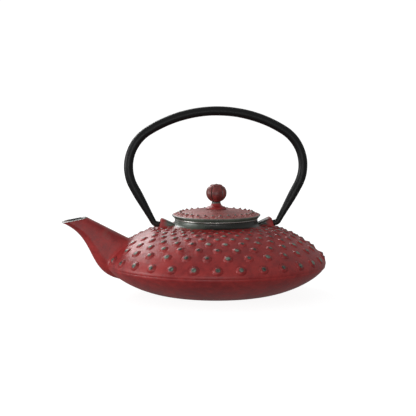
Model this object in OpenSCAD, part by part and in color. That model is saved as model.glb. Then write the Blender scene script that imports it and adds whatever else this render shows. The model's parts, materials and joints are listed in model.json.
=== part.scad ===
// Cast iron teapot with a lift-off lid, a lift-out infuser basket and a swinging bail.
// Origin: centre of the flat foot. +Z is up and the spout points along -X.

/* [Pot] */
// Largest diameter of the bowl, just above the parting line
body_d = 181; // [170:1:195]
// Height of the largest diameter above the foot
widest_h = 25.6; // [23:0.2:29]
// Height where the shoulder meets the neck
shoulder_h = 55.7; // [54:0.1:58]
// Diameter of the flat foot
foot_d = 77; // [66:1:90]
// Thickness of the cast wall
wall_t = 3.4; // [2.8:0.1:4]
// Diameter of the round mouth
mouth_d = 61; // [58:0.5:62]
// Height of the top of the neck
neck_top = 61.4; // [60.5:0.1:62]

/* [Hobnails] */
// Hobnails in each ring
nails_per_ring = 30; // [24:2:36]
// Rings of hobnails between the rim of the bowl and the neck
nail_rings = 8; // [4:1:8]
// Diameter of a hobnail in the lowest ring
nail_d = 4.4; // [3.6:0.1:5.4]

/* [Spout] */
// How far the tip of the spout reaches from the pot's axis
spout_reach = 127.6; // [122:0.2:132]
// Height of the tip
spout_tip_h = 60.2; // [57:0.2:63]
// Length of the pouring mouth, from the tip back to the upper lip
spout_mouth_l = 21.3; // [19:0.1:24]
// Width of the pouring mouth
spout_mouth_w = 16; // [14:0.5:19]
// Width of the spout where it leaves the bowl
spout_root_w = 24; // [20:0.5:28]
// Wall thickness of the spout
spout_wall = 2.7; // [2.2:0.1:3.2]

/* [Ears] */
// Distance from the axis to the outer face of each ear, at the height of the pivot
ear_x = 47.2; // [46:0.2:48]
// Thickness of each ear
ear_t = 11; // [9:0.5:13]
// Height of the bail's pivot above the foot
pivot_h = 57.7; // [57.4:0.1:58]

/* [Bail] */
// Diameter of the bail's rod
bail_d = 7.6; // [6:0.2:8.4]
// Diameter of the hooked ends that sit in the ears
hook_d = 4.1; // [3.6:0.1:4.4]
// Radial play of a hook in its ear
hook_play = 0.08; // [0.04:0.01:0.1]
// Largest distance from the axis to the rod's centre line
bail_half_w = 72.2; // [70:0.2:75]
// Height of the rod's centre line at the top
bail_top = 150.4; // [149:0.2:156]
// Radius of the two shoulders of the bail
bail_corner_r = 34.6; // [32:0.2:37]
// Lean of each leg from upright
leg_tilt = 29; // [27:0.5:31]

/* [Lid] */
// Diameter of the lid
lid_d = 73; // [72:0.5:75]
// Height of the lid's rim
lid_rim_h = 65.2; // [64.8:0.1:65.8]
// Rise of the dome above the rim
lid_rise = 4.3; // [3.4:0.1:5]
// Thickness of the lid's plate
lid_t = 3; // [2.4:0.1:3.4]
// Depth of the ring that centres the lid
spigot_depth = 0.9; // [0.6:0.1:1]

/* [Knob] */
// Diameter of the knob
knob_d = 16.4; // [14:0.2:18]
// Diameter of the seat under the knob
knob_seat_d = 17; // [15:0.5:19]
// Lobes round the knob
knob_lobes = 5; // [4:1:8]

/* [Infuser] */
// Outer diameter of the basket's wall
basket_d = 59.2; // [54:0.2:59.4]
// Height of the underside of the basket
basket_floor_h = 22; // [20:1:30]
// Thickness of the woven wall
mesh_t = 0.5; // [0.4:0.1:0.8]

/* [Hidden] */
$fn = 96;

body_r = body_d / 2;
foot_r = foot_d / 2;
mouth_r = mouth_d / 2;
// The neck flares from its top edge down to the shoulder
neck_top_r = mouth_r + 3.6;
neck_foot_r = mouth_r + 7.9;
// How far each stretch of the bowl's outline runs on straight before it bends, in and out of its ends
foot_lead = [24, 0.4];
lower_rim_lead = [0, -9];
upper_rim_lead = [0, 8.2];
shoulder_lead = [21, -0.4];
bowl_outline = bowl_curve([foot_r, 0], [body_r, widest_h], [neck_foot_r, shoulder_h], 16);
parting_h = widest_h - 2.3;
// Each ring of hobnails is a fixed ratio smaller than the one below, so the pattern keeps its shape
first_ring_r = body_r - 2.4;
ring_ratio = 0.9;
nail_sink = 0.3;
cavity_shoulder_h = shoulder_h - wall_t;
cavity_widest_r = body_r - wall_t;

// The spout is ruled by an upper and a lower edge, each a curve in the XZ plane
spout_mouth_rise = 4.1;
upper_lip = [-spout_reach + sqrt(pow(spout_mouth_l, 2) - pow(spout_mouth_rise, 2)),
    spout_tip_h + spout_mouth_rise];
tip = [-spout_reach, spout_tip_h];
upper_root = [-66, 43];
lower_root = [-72, 11.7];
// The two points that bend the lower edge, near its belly and near its throat
lower_belly = [-110, 14];
lower_throat = [-95.5, 47.1];

// The bail is tangent arcs joined to straight legs that bend into the ears
bail_r = bail_d / 2;
hook_r = hook_d / 2;
elbow_r = 4;
elbow_x = ear_x + 3.7;
hook_depth = 6.2;
hook_hole_depth = 7;
corner_x = bail_half_w - bail_corner_r;
corner_z = pivot_h + bail_corner_r * sin(leg_tilt)
    + (corner_x + bail_corner_r * cos(leg_tilt) - elbow_x) / tan(leg_tilt);
crown_gap = bail_top - corner_z - bail_corner_r;
crown_drop = (pow(corner_x, 2) - pow(crown_gap, 2)) / (2 * crown_gap);
crown_r = bail_corner_r + norm([corner_x, crown_drop]);
crown_half_angle = atan2(corner_x, crown_drop);
elbow_tangent = elbow_r * tan((90 - leg_tilt) / 2);
taper_length = 25;

// The basket's rim lies on the neck and the lid lies on the rim
rim_t = 1;
lid_seat_h = neck_top + rim_t;
lid_r = lid_d / 2;
basket_r = basket_d / 2;
basket_inner_r = basket_r - mesh_t;
spigot_r = basket_inner_r - 0.9;
spigot_t = 2.4;
stem_r = 2.4;
stem_play = 0.1;
washer_t = 1;
seat_h = 5.6;
seat_base_h = lid_rim_h + lid_rise;
lid_underside_h = seat_base_h - lid_t;
knob_base_h = seat_base_h + seat_h;
knob_r = knob_d / 2;
knob_neck_r = 3.5;
knob_centre_h = knob_base_h + knob_r;

function bezier(p0, p1, p2, p3, n) = [for (i = [0:n]) let (t = i / n, s = 1 - t)
    s * s * s * p0 + 3 * s * s * t * p1 + 3 * s * t * t * p2 + t * t * t * p3];

function arc(cx, cy, r, a0, a1, n) = [for (i = [0:n]) let (a = a0 + (a1 - a0) * i / n)
    [cx + r * cos(a), cy + r * sin(a)]];

// Half of the bowl's outline from the foot up to the shoulder
function bowl_curve(foot, widest, shoulder, n) = concat(
    bezier(foot, foot + foot_lead, widest + lower_rim_lead, widest, n),
    [for (i = [1:n]) bezier(widest, widest + upper_rim_lead, shoulder + shoulder_lead, shoulder,
        n)[i]]);

function upper_edge(t) = upper_root + (upper_lip - upper_root) * t;
function lower_edge(t) = let (s = 1 - t)
    s * s * s * lower_root + 3 * s * s * t * lower_belly
    + 3 * s * t * t * lower_throat + t * t * t * tip;

// One closed ring of the spout, squarer than an ellipse, pulled in by inset
function squarer(v) = sign(v) * pow(abs(v), 0.86);
function spout_ring(t, inset, sides) = let (
    a = upper_edge(t),
    b = lower_edge(t),
    centre = (a + b) / 2,
    up = (a - b) / norm(a - b) * (norm(a - b) / 2 - inset),
    half_w = (spout_root_w + (spout_mouth_w - spout_root_w) * t) / 2 - inset)
    [for (i = [0:sides - 1]) let (q = 360 * i / sides)
        [centre[0] + up[0] * squarer(cos(q)), half_w * squarer(sin(q)),
            centre[1] + up[1] * squarer(cos(q))]];

// Shifts a ring straight out of the pouring mouth
function out_of_mouth(ring, distance) = let (lip = upper_lip - tip)
    [for (p = ring) p + distance * [-lip[1], 0, lip[0]] / norm(lip)];

module skin(rings) {
    sides = len(rings[0]);
    last = len(rings) - 1;
    points = [for (ring = rings) each ring];
    walls = [for (k = [0:last - 1], i = [0:sides - 1]) let (
        a = k * sides + i,
        b = k * sides + (i + 1) % sides)
        each [[a, a + sides, b], [b, a + sides, b + sides]]];
    caps = [[for (i = [0:sides - 1]) i],
        [for (i = [0:sides - 1]) last * sides + sides - 1 - i]];
    polyhedron(points, concat(walls, caps));
}

module bowl_outside() {
    rotate_extrude() polygon(concat(
        [[0, 0]],
        bowl_outline,
        bezier([neck_foot_r - 0.6, shoulder_h + 0.5], [neck_top_r + 0.6, shoulder_h + 1.5],
            [neck_top_r, shoulder_h + 3], [neck_top_r, neck_top - 0.6], 5),
        [[neck_top_r - 0.6, neck_top], [0, neck_top]]));
}

module bowl_inside() {
    rotate_extrude() polygon(concat(
        [[0, wall_t + 0.2]],
        bowl_curve([foot_r - 2, wall_t + 0.2], [cavity_widest_r, widest_h + 0.4],
            [mouth_r + 6, cavity_shoulder_h], 12),
        [[mouth_r, cavity_shoulder_h + 0.6], [mouth_r, neck_top + 1], [0, neck_top + 1]]));
}

// The raised line left where the two halves of the mould met
module parting_line() {
    r = lookup(parting_h, [for (p = bowl_outline) if (p[1] <= widest_h) [p[1], p[0]]]);
    rotate_extrude() polygon([[r - 1.2, parting_h - 0.8], [r + 0.3, parting_h],
        [r - 1.2, parting_h + 0.8]]);
}

// Height of the bowl's surface above its widest ring, at a distance from the axis
function shoulder_z(r) = lookup(r, [for (i = [len(bowl_outline) - 1:-1:0])
    if (bowl_outline[i][1] >= widest_h) bowl_outline[i]]);

// Staggered rings of hobnails, each smaller than the ring below it and sunk along the surface normal
module hobnails() {
    for (ring = [0:nail_rings - 1]) {
        shrink = pow(ring_ratio, ring);
        r = first_ring_r * shrink;
        slope = shoulder_z(r - 0.5) - shoulder_z(r + 0.5);
        nail_r = nail_d / 2 * pow(shrink, 0.7);
        sunk = nail_sink * nail_r / norm([slope, 1]);
        for (i = [0:nails_per_ring - 1]) {
            a = 360 * (i + (ring % 2) / 2) / nails_per_ring;
            spot = [-(r - slope * sunk) * cos(a), (r - slope * sunk) * sin(a), shoulder_z(r) - sunk];
            under_spout = spot[0] < 0 && r > 56 && abs(spot[1]) < spout_root_w / 2 + 1;
            under_ear = r < ear_x + 3 && abs(spot[1]) < ear_t / 2 + 1;
            if (!under_spout && !under_ear) translate(spot) sphere(r = nail_r, $fn = 24);
        }
    }
}

module spout_outside() {
    steps = 14;
    skin([for (k = [0:steps]) spout_ring(k / steps, 0, 28)]);
}

module spout_channel() {
    steps = 12;
    mouth_ring = spout_ring(1, spout_wall, 20);
    skin(concat([for (k = [0:steps]) spout_ring(k / steps, spout_wall, 20)],
        [out_of_mouth(mouth_ring, 3)]));
}

// The ear's outer face leans in towards its rounded peak, and its top slopes down to the neck
module ear() {
    peak_r = 2;
    peak_h = pivot_h + 2.5;
    face_lean = 0.25;
    top_slope = 0.46;
    peak_x = ear_x - face_lean * (peak_h - pivot_h) - peak_r * norm([1, face_lean]);
    foot_h = pivot_h - 8;
    neck_side = neck_top_r + 1.4;
    neck_side_h = peak_h + peak_r * norm([1, top_slope]) - top_slope * (peak_x - neck_side);
    rotate([90, 0, 0]) translate([0, 0, -ear_t / 2]) linear_extrude(ear_t) polygon(concat(
        [[mouth_r + 1.5, foot_h], [ear_x + face_lean * (pivot_h - foot_h), foot_h]],
        arc(peak_x, peak_h, peak_r, atan(face_lean), 90 + atan(top_slope), 6),
        [[neck_side, neck_side_h], [mouth_r + 1.5, neck_side_h - 1]]));
}

module ear_hole() {
    translate([ear_x - hook_hole_depth, 0, pivot_h]) rotate([0, 90, 0])
        cylinder(h = hook_hole_depth + 2, r = hook_r + hook_play);
}

module pot_casting() {
    color("firebrick") difference() {
        union() {
            bowl_outside();
            parting_line();
            hobnails();
            spout_outside();
            ear();
            mirror([1, 0, 0]) ear();
        }
        bowl_inside();
        spout_channel();
        ear_hole();
        mirror([1, 0, 0]) ear_hole();
    }
}

// Two staggered rings of small hobnails near the rim of the lid, the inner ones larger
module lid_nails() {
    for (ring = [0:1], i = [0:nails_per_ring - 1]) {
        a = 360 * (i + ring / 2) / nails_per_ring;
        r = lid_r - 3.4 - 3 * ring;
        translate([-r * cos(a), r * sin(a), lid_rim_h + 0.3 + 0.4 * ring])
            sphere(r = 0.9 + 0.5 * ring, $fn = 24);
    }
}

module lid_casting() {
    dome_top = bezier([lid_r - 0.4, lid_rim_h], [lid_r - 12, lid_rim_h + 2.4],
        [20, seat_base_h], [knob_seat_d / 2 + 1, seat_base_h], 8);
    dome_under = bezier([spigot_r - spigot_t, lid_seat_h], [spigot_r - 8, lid_seat_h + 2.6],
        [18, lid_underside_h], [9, lid_underside_h], 6);
    color("firebrick") union() {
        rotate_extrude() polygon(concat(
            [[stem_r + stem_play, lid_underside_h], [stem_r + stem_play, seat_base_h]],
            [for (i = [len(dome_top) - 1:-1:0]) dome_top[i]],
            [[lid_r, lid_rim_h - 0.5], [lid_r - 0.2, lid_rim_h - 1], [lid_r - 1.6, lid_seat_h],
                [spigot_r, lid_seat_h], [spigot_r, lid_seat_h - spigot_depth],
                [spigot_r - spigot_t, lid_seat_h - spigot_depth]],
            dome_under));
        lid_nails();
    }
}

// A stepped bell with a flat disc at its foot
module knob_seat() {
    foot = knob_seat_d / 2;
    color("firebrick") rotate_extrude() polygon(concat(
        [[stem_r + stem_play, seat_base_h], [foot, seat_base_h], [foot, seat_base_h + 0.9],
            [foot - 0.9, seat_base_h + 2]],
        bezier([foot - 2.2, seat_base_h + 2.3], [foot - 3.6, seat_base_h + 2.6],
            [knob_neck_r + 0.2, seat_base_h + 3.8], [knob_neck_r, knob_base_h], 6),
        [[stem_r + stem_play, knob_base_h]]));
}

// The ball carries a stepped cap with a nipple, and its stem is peened under the washer
module lid_knob() {
    cap_h = knob_centre_h + 0.56 * knob_r;
    stem_foot = lid_underside_h - washer_t - 0.9;
    color("maroon") difference() {
        rotate_extrude() polygon(concat(
            [[0, stem_foot], [stem_r + 0.6, stem_foot], [stem_r + 0.9, lid_underside_h - washer_t],
                [stem_r, lid_underside_h - washer_t], [stem_r, knob_base_h],
                [knob_neck_r, knob_base_h]],
            arc(0, knob_centre_h, knob_r, -64, 32, 14),
            [[5.3, cap_h], [5, cap_h + 0.7], [4.2, cap_h + 1.4], [1.2, cap_h + 1.6],
                [1, cap_h + 2.3], [0, cap_h + 2.6]]));
        for (i = [0:knob_lobes - 1]) rotate([0, 0, 360 * (i + 0.5) / knob_lobes + 90])
            rotate([90, 0, 0]) translate([0, knob_centre_h, 0]) rotate([0, 0, -50])
                rotate_extrude(angle = 80) translate([knob_r + 0.2, 0]) circle(r = 1, $fn = 24);
    }
}

module knob_washer() {
    color("silver") translate([0, 0, lid_underside_h - washer_t]) difference() {
        cylinder(h = washer_t, r = 6.5);
        translate([0, 0, -1]) cylinder(h = washer_t + 2, r = stem_r + stem_play);
    }
}

// Stations along an arc of the bail: [x, z, heading, rod radius], heading along the rod
function bail_arc(centre, r, a0, a1, n, rod_r) = [for (i = [0:n]) let (a = a0 + (a1 - a0) * i / n)
    [centre[0] + r * cos(a), centre[1] + r * sin(a), a + 90, rod_r]];

// Stations of the right half, from the ear up to the crown
function bail_half() = let (
    leg_dir = [sin(leg_tilt), cos(leg_tilt)],
    leg_foot = [elbow_x, pivot_h] + elbow_tangent * leg_dir,
    leg_mid = leg_foot + taper_length * leg_dir)
    concat(
        bail_arc([elbow_x - elbow_tangent, pivot_h + elbow_r], elbow_r, 270, 360 - leg_tilt, 6,
            hook_r + 0.35),
        [[leg_mid[0], leg_mid[1], 90 - leg_tilt, bail_r]],
        bail_arc([corner_x, corner_z], bail_corner_r, -leg_tilt, 90 - crown_half_angle, 14, bail_r),
        [for (i = [1:5]) bail_arc([0, corner_z - crown_drop], crown_r,
            90 - crown_half_angle, 90, 6, bail_r)[i]]);

function rod_ring(s, sides) = [for (i = [0:sides - 1]) let (q = 360 * i / sides)
    [s[0] - s[3] * cos(q) * sin(s[2]), -s[3] * sin(q), s[1] + s[3] * cos(q) * cos(s[2])]];

module hook() {
    translate([ear_x - hook_depth, 0, pivot_h]) rotate([0, 90, 0])
        cylinder(h = elbow_x - elbow_tangent - ear_x + hook_depth + 0.7, r = hook_r);
}

module bail() {
    right = bail_half();
    crown = [[0, bail_top, 180, bail_r]];
    left = [for (i = [len(right) - 1:-1:0]) let (s = right[i]) [-s[0], s[1], 360 - s[2], s[3]]];
    color([0.12, 0.12, 0.13]) union() {
        skin([for (s = concat(right, crown, left)) rod_ring(s, 20)]);
        hook();
        mirror([1, 0, 0]) hook();
    }
}

// A pressed ring with a rolled outer edge and a short skirt inside the woven wall
module basket_rim() {
    color("gainsboro") rotate_extrude() polygon(concat(
        [[basket_inner_r - 0.5, neck_top - 5], [basket_inner_r, neck_top - 5],
            [basket_inner_r, neck_top]],
        arc(neck_top_r - 0.2, neck_top + rim_t / 2, rim_t / 2, -90, 90, 6),
        [[basket_inner_r - 0.5, lid_seat_h]]));
}

module basket_wall() {
    wall_h = neck_top - basket_floor_h - 0.5;
    color("silver") translate([0, 0, basket_floor_h + 0.5]) difference() {
        cylinder(h = wall_h, r = basket_r);
        translate([0, 0, -1]) cylinder(h = wall_h + 2, r = basket_inner_r);
    }
}

module basket_floor() {
    color("silver") translate([0, 0, basket_floor_h + 0.5])
        cylinder(h = mesh_t, r = basket_inner_r);
}

// A crimped channel that holds the woven wall and floor together
module basket_floor_ring() {
    color("gainsboro") rotate_extrude() polygon([
        [basket_inner_r - 3, basket_floor_h], [basket_r + 0.4, basket_floor_h],
        [basket_r + 0.4, basket_floor_h + 4], [basket_r, basket_floor_h + 4],
        [basket_r, basket_floor_h + 0.5], [basket_inner_r - 3, basket_floor_h + 0.5]]);
}

pot_casting();
lid_casting();
knob_seat();
lid_knob();
knob_washer();
bail();
basket_rim();
basket_wall();
basket_floor();
basket_floor_ring();
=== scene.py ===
import json
import math
import random

import bmesh
import bpy
from mathutils import Matrix, Vector, noise


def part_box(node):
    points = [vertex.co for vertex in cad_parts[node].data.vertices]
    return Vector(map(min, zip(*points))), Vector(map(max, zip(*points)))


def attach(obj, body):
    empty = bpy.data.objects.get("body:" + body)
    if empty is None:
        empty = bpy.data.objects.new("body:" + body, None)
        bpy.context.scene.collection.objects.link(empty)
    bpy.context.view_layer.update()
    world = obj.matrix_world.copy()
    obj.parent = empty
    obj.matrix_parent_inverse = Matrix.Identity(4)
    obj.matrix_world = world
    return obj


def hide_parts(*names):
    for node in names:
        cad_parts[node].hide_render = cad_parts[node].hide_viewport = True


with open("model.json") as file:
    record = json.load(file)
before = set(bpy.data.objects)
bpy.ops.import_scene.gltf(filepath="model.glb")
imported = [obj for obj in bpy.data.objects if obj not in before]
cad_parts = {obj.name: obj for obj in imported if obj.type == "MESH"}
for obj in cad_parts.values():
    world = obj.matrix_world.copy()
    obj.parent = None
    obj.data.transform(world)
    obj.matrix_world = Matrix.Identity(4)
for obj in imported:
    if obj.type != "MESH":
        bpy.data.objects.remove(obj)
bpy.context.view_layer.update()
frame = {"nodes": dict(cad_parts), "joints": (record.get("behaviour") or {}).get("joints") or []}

# Shapes are drawn in millimetres and brought to metres as each piece is finished
MM = 0.001
# Points closer than this become one
MERGE = 1e-4


def box_mm(node):
    """Lowest and highest corner of a solid, in millimetres."""
    return [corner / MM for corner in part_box(node)]


pot_low = box_mm("pot_casting")[0]
lid_low, lid_high = box_mm("lid_casting")
seat_low, seat_high = box_mm("knob_seat")
knob_low, knob_high = box_mm("lid_knob")
bail_high = box_mm("bail")[1]
rim_low, rim_high = box_mm("basket_rim")
wall_high = box_mm("basket_wall")[1]
ring_low, ring_high = box_mm("basket_floor_ring")

# Pot
BODY_R = 90.5
WIDEST_H = 25.6
SHOULDER_H = 55.7
FOOT_R = 38.5
WALL = 3.4
MOUTH_R = 30.5
NECK_R = 34.1
NECK_FOOT_R = 38.4
NECK_TOP = wall_high.z
PARTING_H = 23.3
FLOOR_T = WALL + 0.2
CEILING_H = SHOULDER_H - WALL
POT_STEPS = 180
# How far the bowl's curve leads straight on from the foot, the widest ring and the shoulder
FOOT_LEAD = Vector((24, 0.4))
BELLY_LEAD = Vector((0, 9))
RISE_LEAD = Vector((0, 8.2))
SHOULDER_LEAD = Vector((21, -0.4))
# Hobnails: each ring's radius and size follow from the ring below it
NAILS = 30
NAIL_RINGS = 8
FIRST_RING_R = 88.1
RING_RATIO = 0.9
NAIL_SIZE = 2.2
NAIL_SIZE_FALL = 0.7
NAIL_SPREAD = 2.05
NAIL_RISE = 0.88
NAIL_BULGE = 2.7
NAIL_ROOT = 0.8
NAIL_SCATTER = 0.12
NAIL_LEAN = 0.08
POT_NAIL_LEVELS = (1, 0.76, 0.56, 0.38, 0.2)
LID_NAIL_LEVELS = (1, 0.72, 0.5, 0.26)
# No hobnails stand under the spout or beside the ears
SPOUT_BARE_R = 56
SPOUT_BARE_HALF = 13
EAR_BARE_GAP = 3
# Spout, in the upright plane through the pot's axis
TIP = Vector((pot_low.x, 60.2))
UPPER_LIP = Vector((pot_low.x + 20.9, 64.3))
UPPER_ROOT = Vector((-66.0, 43.0))
LOWER_ROOT = Vector((-72.0, 11.7))
LOWER_BELLY = Vector((-110.0, 14.0))
LOWER_THROAT = Vector((-95.5, 47.1))
SPOUT_ROOT_HALF = 12.0
SPOUT_MOUTH_HALF = 8.0
SPOUT_WALL = 2.7
SPOUT_SIDES = 40
SPOUT_FILLET_LOW = 2.4
SPOUT_FILLET_HIGH = 5.0
SPOUT_SINK = -0.35
# Where the channel's faces are looked for: past this place, and this near to the spout's middle
CHANNEL_FROM_X = -60
CHANNEL_REACH = 14
CHANNEL_STRIDE = 2.5
LIP = UPPER_LIP - TIP
# Ears
EAR_X = 47.2
EAR_LEAN = 0.25
EAR_SLOPE = 0.46
EAR_PEAK = Vector((44.5, 60.2))
EAR_PEAK_R = 2.0
EAR_TURN_X = EAR_PEAK.x - 0.84
EAR_TURN_H = EAR_PEAK.y + 1.815
EAR_HALF_T = 5.5
EAR_CORNER_R = 1.6
EAR_INNER_X = 34.5
EAR_MIDDLE_X = 40.5
EAR_ROOT_H = 47.0
EAR_EDGE = 0.45
EAR_FILLET = 2.2
PIVOT_H = frame["joints"][0]["pos_m"][2] / MM
HOLE_GAP = 0.25
HOLE_CENTRE_X = 50.2
HOLE_DEPTH = 20
# Bail
ROD_R = 3.8
HOOK_R = 2.05
HOOK_END_X = 41.0
ELBOW_R = 4.0
ELBOW_X = 50.9
CORNER_R = 34.6
CORNER_X = 37.6
LEG_TILT = math.radians(29)
TAPER = 25
ELBOW_ROD_R = HOOK_R + 0.35
BAIL_TOP = bail_high.z - ROD_R
BAIL_SIDES = 28
# Lid
LID_R = lid_high.x
LID_RIM_H = 65.2
LID_SEAT_H = rim_high.z
DOME_H = seat_low.z
DOME_T = 3.0
SPIGOT_R = 28.2
SPIGOT_T = 2.4
SPIGOT_EDGE = 0.5
LID_STEPS = 150
# Radius and height of the lid's hobnails, ring by ring from its edge inwards
LID_NAILS = ((1.5, 0.8), (2.2, 1.8))
LID_NAIL_EDGE = 3.4
LID_NAIL_PITCH = 3.0
# Knob, a slightly flattened ball that is a little fuller than its solid
SEAT_R = seat_high.x
SEAT_STEPS = 96
STEM_HOLE_R = 2.5
KNOB_R = knob_high.x * 1.04
KNOB_SQUASH = 0.93
KNOB_NECK_R = 3.5
KNOB_CENTRE = seat_high.z + KNOB_R * KNOB_SQUASH
LOBES = 5
LOBE_SWELL = 0.25
GROOVE_DEPTH = 0.85
GROOVE_HALF = 0.5
KNOB_STEPS = 200
# Infuser
SHEET_T = 0.5
WEAVE_PITCH = 0.62
SHEET_STEPS = 144


def bezier(p0, p1, p2, p3, steps):
    """Points along a cubic, both ends included."""
    p0, p1, p2, p3 = (Vector(p) for p in (p0, p1, p2, p3))
    points = []
    for i in range(steps + 1):
        t = i / steps
        s = 1 - t
        points.append(p0 * s ** 3 + p1 * (3 * s * s * t) + p2 * (3 * s * t * t) + p3 * t ** 3)
    return points


def arc(centre, radius, start, end, steps):
    """Points along a circle's arc, angles in degrees."""
    angles = [math.radians(start + (end - start) * i / steps) for i in range(steps + 1)]
    return [Vector(centre) + radius * Vector((math.cos(a), math.sin(a))) for a in angles]


def lerp(a, b, t):
    return a + (b - a) * t


class Outline:
    """The outline of a turned surface, as radius and height, with the iron on its left."""

    def __init__(self, points):
        self.points = [Vector(p) for p in points]
        pairs = list(zip(self.points, self.points[1:]))
        edges = [Vector((b.y - a.y, a.x - b.x)).normalized() for a, b in pairs]
        joined = [e + f for e, f in zip(edges, edges[1:])]
        self.normals = [edges[0]] + [j.normalized() for j in joined] + [edges[-1]]

    def nearest(self, spot):
        """The nearest point of the outline, its outward normal and the distance outside it."""
        best = None
        for i, (a, b) in enumerate(zip(self.points, self.points[1:])):
            along = b - a
            t = min(max((spot - a).dot(along) / along.length_squared, 0), 1)
            foot = a + along * t
            gap = (spot - foot).length
            if best is None or gap < best[0]:
                best = (gap, foot, lerp(self.normals[i], self.normals[i + 1], t).normalized())
        gap, foot, normal = best
        return foot, normal, gap if (spot - foot).dot(normal) > 0 else -gap

    def at_radius(self, radius):
        """The point of the upper side at a distance from the axis."""
        for a, b in zip(self.points[::-1], self.points[-2::-1]):
            if a.x <= radius <= b.x:
                return lerp(a, b, (radius - a.x) / (b.x - a.x))
        return self.points[-1]


def turned(spot, angle):
    """A point of an outline at an angle round the axis from the spout, towards the front."""
    return Vector((-spot[0] * math.cos(angle), -spot[0] * math.sin(angle), spot[1]))


def spun(bm, points, steps):
    """Turns a profile of radius and height all the way round the axis."""
    verts = [bm.verts.new((p[0], 0, p[1])) for p in points]
    edges = [bm.edges.new(pair) for pair in zip(verts, verts[1:])]
    bmesh.ops.spin(bm, geom=verts + edges, cent=(0, 0, 0), axis=(0, 0, 1),
                   angle=math.tau, steps=steps, use_merge=True, use_duplicate=False)


def lofted(bm, rings, closed_loop=False):
    """A skin over rings of points. Rings that shrink to a point close it, or the first joins the last."""
    if closed_loop:
        rings = rings + [rings[0]]
    across, around = len(rings) - 1, len(rings[0])
    before = set(bm.verts)
    bmesh.ops.create_grid(bm, x_segments=across, y_segments=around, size=0.5)
    made = [v for v in bm.verts if v not in before]
    for v in made:
        i = round((v.co.x + 0.5) * across)
        j = round((v.co.y + 0.5) * around) % around
        v.co = rings[i][j]
    bmesh.ops.remove_doubles(bm, verts=made, dist=MERGE)


def tidy(bm, sharp=38):
    """Merges doubles, points faces outwards and keeps creases crisp."""
    bmesh.ops.remove_doubles(bm, verts=bm.verts, dist=MERGE)
    bmesh.ops.dissolve_degenerate(bm, edges=bm.edges, dist=MERGE / 10)
    bmesh.ops.recalc_face_normals(bm, faces=bm.faces)
    limit = math.radians(sharp)
    for face in bm.faces:
        face.smooth = True
    for edge in bm.edges:
        edge.smooth = len(edge.link_faces) == 2 and edge.calc_face_angle(0) < limit


def as_object(name, bm):
    """Brings a drawing in millimetres to metres and makes it an object."""
    bmesh.ops.scale(bm, vec=(MM, MM, MM), verts=bm.verts)
    mesh = bpy.data.meshes.new(name)
    bm.to_mesh(mesh)
    bm.free()
    piece = bpy.data.objects.new(name, mesh)
    bpy.context.scene.collection.objects.link(piece)
    return piece


def piece_from(name, bm, finishes, body, node):
    """Makes a drawing a finished piece that moves with a body and stands for a node."""
    piece = as_object(name, bm)
    for finish in finishes:
        piece.data.materials.append(finish)
    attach(piece, body)
    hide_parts(node)


def join(bm, other):
    """Adds one drawing to another."""
    mesh = bpy.data.meshes.new("joined")
    other.to_mesh(mesh)
    other.free()
    bm.from_mesh(mesh)
    bpy.data.meshes.remove(mesh)


def cut(bm, cutter):
    """Takes one closed drawing out of another and returns the result as a drawing."""
    objects = []
    for name, drawing in (("blank", bm), ("cutter", cutter)):
        mesh = bpy.data.meshes.new(name)
        drawing.to_mesh(mesh)
        drawing.free()
        objects.append(bpy.data.objects.new(name, mesh))
        bpy.context.scene.collection.objects.link(objects[-1])
    blank, tool = objects
    modifier = blank.modifiers.new("cut", "BOOLEAN")
    modifier.operation = "DIFFERENCE"
    modifier.solver = "EXACT"
    modifier.object = tool
    depsgraph = bpy.context.evaluated_depsgraph_get()
    result = bmesh.new()
    result.from_object(blank, depsgraph)
    for thing in objects:
        mesh = thing.data
        bpy.data.objects.remove(thing)
        bpy.data.meshes.remove(mesh)
    return result


def bowl_side(foot, widest, shoulder, steps_below, steps_above):
    """A side of the bowl: out from the foot to the widest ring, then in to the shoulder."""
    foot, widest, shoulder = Vector(foot), Vector(widest), Vector(shoulder)
    below = bezier(foot, foot + FOOT_LEAD, widest - BELLY_LEAD, widest, steps_below)
    above = bezier(widest, widest + RISE_LEAD, shoulder + SHOULDER_LEAD, shoulder, steps_above)
    return below + above[1:]


# Outlines shared by the shapes
outer_bowl = bowl_side((FOOT_R, 0), (BODY_R, WIDEST_H), (NECK_FOOT_R, SHOULDER_H), 26, 30)
inner_bowl = bowl_side((FOOT_R - 2, FLOOR_T), (BODY_R - WALL, WIDEST_H + 0.4), (MOUTH_R + 6, CEILING_H),
                       16, 16)
neck_curve = bezier((NECK_FOOT_R - 0.6, SHOULDER_H + 0.35), (NECK_R + 0.6, SHOULDER_H + 1.3),
                    (NECK_R, SHOULDER_H + 3), (NECK_R, NECK_TOP - 0.6), 8)
bowl = Outline(outer_bowl + neck_curve)
dome = Outline([(LID_R, LID_RIM_H - 0.55), (LID_R - 0.12, LID_RIM_H - 0.2)]
               + bezier((LID_R - 0.5, LID_RIM_H), (LID_R - 12, LID_RIM_H + 2.4), (20, DOME_H),
                        (SEAT_R + 1, DOME_H), 22))

dice = random.Random(11)


# ---------------------------------------------------------------- hobnails

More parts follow.
